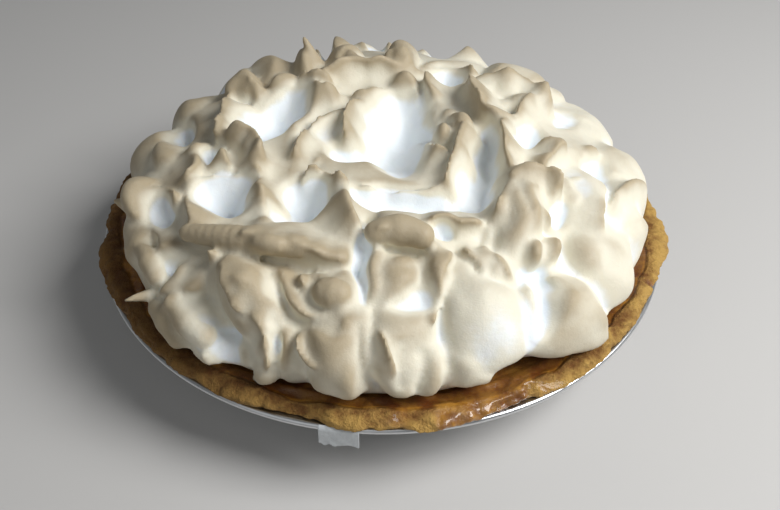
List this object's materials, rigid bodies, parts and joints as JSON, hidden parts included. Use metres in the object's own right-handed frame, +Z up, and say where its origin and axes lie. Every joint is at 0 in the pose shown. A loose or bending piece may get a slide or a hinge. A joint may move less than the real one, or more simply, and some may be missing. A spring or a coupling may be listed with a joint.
{
  "type": "lemon meringue pie",
  "caption": "Whole lemon meringue pie in its round sloping tin: spooned, browned meringue in swirls and peaks over a pastry rim, with a strip of tape on the tin's edge.",
  "frame": {"origin": "centre of the tin's flat underside, on the surface it rests on", "axes": "+Z up through the middle of the pie; -Y toward the side with the strip of tape, which the picture shows in front; +X to the right as seen from there"},
  "size_m": [0.2455, 0.2449, 0.0886],
  "materials": {
    "tin": "thin rolled aluminium with soft brushed marks",
    "tape": "thin cloudy grey tape",
    "crust": "baked shortcrust, golden brown, crumbly",
    "filling": "set lemon curd with an amber syrup at its edge",
    "meringue": "baked meringue, white in its hollows and toasted cream on its crests"
  },
  "bodies": {
    "root": {"tin": "tin", "tape_tab": "tape", "crust": "crust", "filling": "filling", "meringue": "meringue"}
  },
  "joints": []
}
